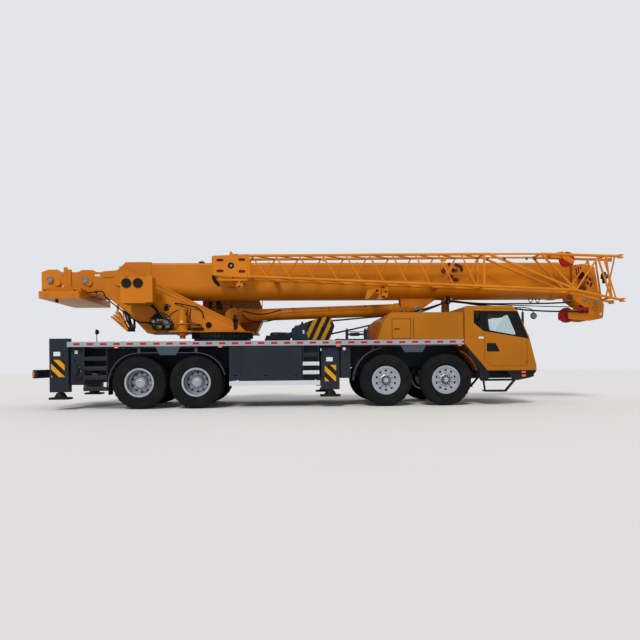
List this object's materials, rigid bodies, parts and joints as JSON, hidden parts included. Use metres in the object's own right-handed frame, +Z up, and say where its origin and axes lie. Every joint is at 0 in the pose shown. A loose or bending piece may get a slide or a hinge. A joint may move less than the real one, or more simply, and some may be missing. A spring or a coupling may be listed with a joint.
{
  "type": "mobile crane",
  "caption": "Truck crane with a telescopic boom lowered over its low cab, a lattice jib stowed beside it, sliding outriggers, a turning upper works, steered front axles and opening doors.",
  "frame": {"origin": "on the ground under the middle of the machine's length and width", "axes": "+X forward to the driving cab, +Y to the left, +Z up"},
  "size_m": [13.8836, 2.8, 3.6419],
  "materials": {
    "cab_yellow": "gloss orange-yellow enamel",
    "boom_yellow": "gloss orange-yellow enamel",
    "chassis_slate": "dark slate enamel",
    "deck_grey": "light grey deck and edge strip",
    "black_parts": "black enamel",
    "rim_silver": "silver wheel enamel",
    "tyre_rubber": "black tyre rubber",
    "sheave_red": "dark red sheave enamel",
    "rod_chrome": "polished rod",
    "glazing": "tinted cab glass",
    "interior_grey": "grey trim and seats",
    "engine_grey": "engine casting"
  },
  "bodies": {
    "carrier": {"chassis_frame": "chassis_slate", "deck": "deck_grey", "slewing_ring": "black_parts", "side_equipment": "chassis_slate", "fenders": "chassis_slate", "engine_hood": "cab_yellow", "engine_block": "engine_grey", "cab_shell": "cab_yellow", "cab_glazing": "glazing", "cab_interior": "interior_grey", "cab_fittings": "black_parts", "axles": "black_parts", "leaf_springs": "black_parts"},
    "door_left": {"cab_door_left": "cab_yellow"},
    "door_right": {"cab_door_right": "cab_yellow"},
    "superstructure": {"turntable": "boom_yellow", "counterweight": "boom_yellow", "winch_drums": "black_parts", "upper_cab": "cab_yellow", "upper_cab_glazing": "glazing", "control_box": "boom_yellow"},
    "boom_base": {"boom_base": "boom_yellow", "jib": "boom_yellow"},
    "boom_section_2": {"boom_section_2": "boom_yellow"},
    "boom_section_3": {"boom_section_3": "boom_yellow"},
    "boom_section_4": {"boom_section_4": "boom_yellow"},
    "boom_tip": {"boom_tip": "boom_yellow", "head_sheaves": "sheave_red"},
    "hook_block": {"hook_block": "boom_yellow"},
    "lift_barrel": {"lift_barrel": "boom_yellow"},
    "lift_rod": {"lift_rod": "rod_chrome"},
    "wheel_1_left": {"rim_1_left": "rim_silver", "tyre_1_left": "tyre_rubber"},
    "knuckle_1_left": {"knuckle_1_left": "black_parts"},
    "wheel_1_right": {"rim_1_right": "rim_silver", "tyre_1_right": "tyre_rubber"},
    "knuckle_1_right": {"knuckle_1_right": "black_parts"},
    "wheel_2_left": {"rim_2_left": "rim_silver", "tyre_2_left": "tyre_rubber"},
    "knuckle_2_left": {"knuckle_2_left": "black_parts"},
    "wheel_2_right": {"rim_2_right": "rim_silver", "tyre_2_right": "tyre_rubber"},
    "knuckle_2_right": {"knuckle_2_right": "black_parts"},
    "wheel_3_left": {"rims_3_left": "rim_silver", "tyres_3_left": "tyre_rubber"},
    "wheel_3_right": {"rims_3_right": "rim_silver", "tyres_3_right": "tyre_rubber"},
    "wheel_4_left": {"rims_4_left": "rim_silver", "tyres_4_left": "tyre_rubber"},
    "wheel_4_right": {"rims_4_right": "rim_silver", "tyres_4_right": "tyre_rubber"},
    "beam_front_left": {"outrigger_beam_front_left": "chassis_slate"},
    "jack_front_left": {"outrigger_jack_front_left": "black_parts"},
    "beam_front_right": {"outrigger_beam_front_right": "chassis_slate"},
    "jack_front_right": {"outrigger_jack_front_right": "black_parts"},
    "beam_rear_left": {"outrigger_beam_rear_left": "chassis_slate"},
    "jack_rear_left": {"outrigger_jack_rear_left": "black_parts"},
    "beam_rear_right": {"outrigger_beam_rear_right": "chassis_slate"},
    "jack_rear_right": {"outrigger_jack_rear_right": "black_parts"}
  },
  "joints": [
    {"name": "slew", "type": "hinge", "parent": "carrier", "child": "superstructure", "pos_m": [-2.77, 0, 1.768], "axis": [0, 0, 1], "continuous": true},
    {"name": "luff", "type": "hinge", "parent": "superstructure", "child": "boom_base", "pos_m": [-5.15, 0, 3.05], "axis": [0, -1, 0], "range_deg": [0, 80]},
    {"name": "barrel_tilt", "type": "hinge", "parent": "superstructure", "child": "lift_barrel", "pos_m": [-2.5, 0, 2.21], "axis": [0, -1, 0], "range_deg": [0, 93.69]},
    {"name": "rod_extend", "type": "slide", "parent": "lift_barrel", "child": "lift_rod", "axis": [0.9994, 0, 0.0335], "range_m": [0, 3.298]},
    {"name": "telescope_2", "type": "slide", "parent": "boom_base", "child": "boom_section_2", "axis": [1, 0, 0], "range_m": [0, 8]},
    {"name": "telescope_3", "type": "slide", "parent": "boom_section_2", "child": "boom_section_3", "axis": [1, 0, 0], "range_m": [0, 8]},
    {"name": "telescope_4", "type": "slide", "parent": "boom_section_3", "child": "boom_section_4", "axis": [1, 0, 0], "range_m": [0, 8]},
    {"name": "telescope_5", "type": "slide", "parent": "boom_section_4", "child": "boom_tip", "axis": [1, 0, 0], "range_m": [0, 8]},
    {"name": "hook_lead", "type": "slide", "parent": "boom_tip", "child": "hook_block", "axis": [1, 0, 0], "range_m": [-32, 0]},
    {"name": "open_door_left", "type": "hinge", "parent": "carrier", "child": "door_left", "pos_m": [4.44, 1.387, 1.3], "axis": [0, 0, -1], "range_deg": [0, 70]},
    {"name": "open_door_right", "type": "hinge", "parent": "carrier", "child": "door_right", "pos_m": [4.44, -1.387, 1.3], "axis": [0, 0, 1], "range_deg": [0, 70]},
    {"name": "steer_1_left", "type": "hinge", "parent": "carrier", "child": "knuckle_1_left", "pos_m": [2.527, 1, 0.6], "axis": [0, 0, 1], "range_deg": [-35, 35]},
    {"name": "roll_1_left", "type": "hinge", "parent": "knuckle_1_left", "child": "wheel_1_left", "pos_m": [2.527, 1.2225, 0.6], "axis": [0, 1, 0], "continuous": true},
    {"name": "steer_1_right", "type": "hinge", "parent": "carrier", "child": "knuckle_1_right", "pos_m": [2.527, -1, 0.6], "axis": [0, 0, 1], "range_deg": [-35, 35]},
    {"name": "roll_1_right", "type": "hinge", "parent": "knuckle_1_right", "child": "wheel_1_right", "pos_m": [2.527, -1.2225, 0.6], "axis": [0, 1, 0], "continuous": true},
    {"name": "steer_2_left", "type": "hinge", "parent": "carrier", "child": "knuckle_2_left", "pos_m": [1.123, 1, 0.6], "axis": [0, 0, 1], "range_deg": [-28, 28]},
    {"name": "roll_2_left", "type": "hinge", "parent": "knuckle_2_left", "child": "wheel_2_left", "pos_m": [1.123, 1.2225, 0.6], "axis": [0, 1, 0], "continuous": true},
    {"name": "steer_2_right", "type": "hinge", "parent": "carrier", "child": "knuckle_2_right", "pos_m": [1.123, -1, 0.6], "axis": [0, 0, 1], "range_deg": [-28, 28]},
    {"name": "roll_2_right", "type": "hinge", "parent": "knuckle_2_right", "child": "wheel_2_right", "pos_m": [1.123, -1.2225, 0.6], "axis": [0, 1, 0], "continuous": true},
    {"name": "roll_3_left", "type": "hinge", "parent": "carrier", "child": "wheel_3_left", "pos_m": [-3.235, 1.2225, 0.6], "axis": [0, 1, 0], "continuous": true},
    {"name": "roll_3_right", "type": "hinge", "parent": "carrier", "child": "wheel_3_right", "pos_m": [-3.235, -1.2225, 0.6], "axis": [0, 1, 0], "continuous": true},
    {"name": "roll_4_left", "type": "hinge", "parent": "carrier", "child": "wheel_4_left", "pos_m": [-4.515, 1.2225, 0.6], "axis": [0, 1, 0], "continuous": true},
    {"name": "roll_4_right", "type": "hinge", "parent": "carrier", "child": "wheel_4_right", "pos_m": [-4.515, -1.2225, 0.6], "axis": [0, 1, 0], "continuous": true},
    {"name": "extend_beam_front_left", "type": "slide", "parent": "carrier", "child": "beam_front_left", "axis": [0, 1, 0], "range_m": [0, 1.75]},
    {"name": "lower_jack_front_left", "type": "slide", "parent": "beam_front_left", "child": "jack_front_left", "axis": [0, 0, -1], "range_m": [0, 0.6]},
    {"name": "extend_beam_front_right", "type": "slide", "parent": "carrier", "child": "beam_front_right", "axis": [0, -1, 0], "range_m": [0, 1.75]},
    {"name": "lower_jack_front_right", "type": "slide", "parent": "beam_front_right", "child": "jack_front_right", "axis": [0, 0, -1], "range_m": [0, 0.6]},
    {"name": "extend_beam_rear_left", "type": "slide", "parent": "carrier", "child": "beam_rear_left", "axis": [0, 1, 0], "range_m": [0, 1.75]},
    {"name": "lower_jack_rear_left", "type": "slide", "parent": "beam_rear_left", "child": "jack_rear_left", "axis": [0, 0, -1], "range_m": [0, 0.6]},
    {"name": "extend_beam_rear_right", "type": "slide", "parent": "carrier", "child": "beam_rear_right", "axis": [0, -1, 0], "range_m": [0, 1.75]},
    {"name": "lower_jack_rear_right", "type": "slide", "parent": "beam_rear_right", "child": "jack_rear_right", "axis": [0, 0, -1], "range_m": [0, 0.6]}
  ],
  "couplings": [
    {"joint": "barrel_tilt", "follows": "luff", "ratio": 1.1705},
    {"joint": "rod_extend", "follows": "luff", "m_per_rad": 2.3609},
    {"joint": "telescope_3", "follows": "telescope_2", "ratio": 1},
    {"joint": "telescope_4", "follows": "telescope_2", "ratio": 1},
    {"joint": "telescope_5", "follows": "telescope_2", "ratio": 1},
    {"joint": "hook_lead", "follows": "telescope_2", "ratio": -4},
    {"joint": "steer_1_right", "follows": "steer_1_left", "ratio": 1},
    {"joint": "steer_2_left", "follows": "steer_1_left", "ratio": 0.8},
    {"joint": "steer_2_right", "follows": "steer_1_left", "ratio": 0.8}
  ]
}
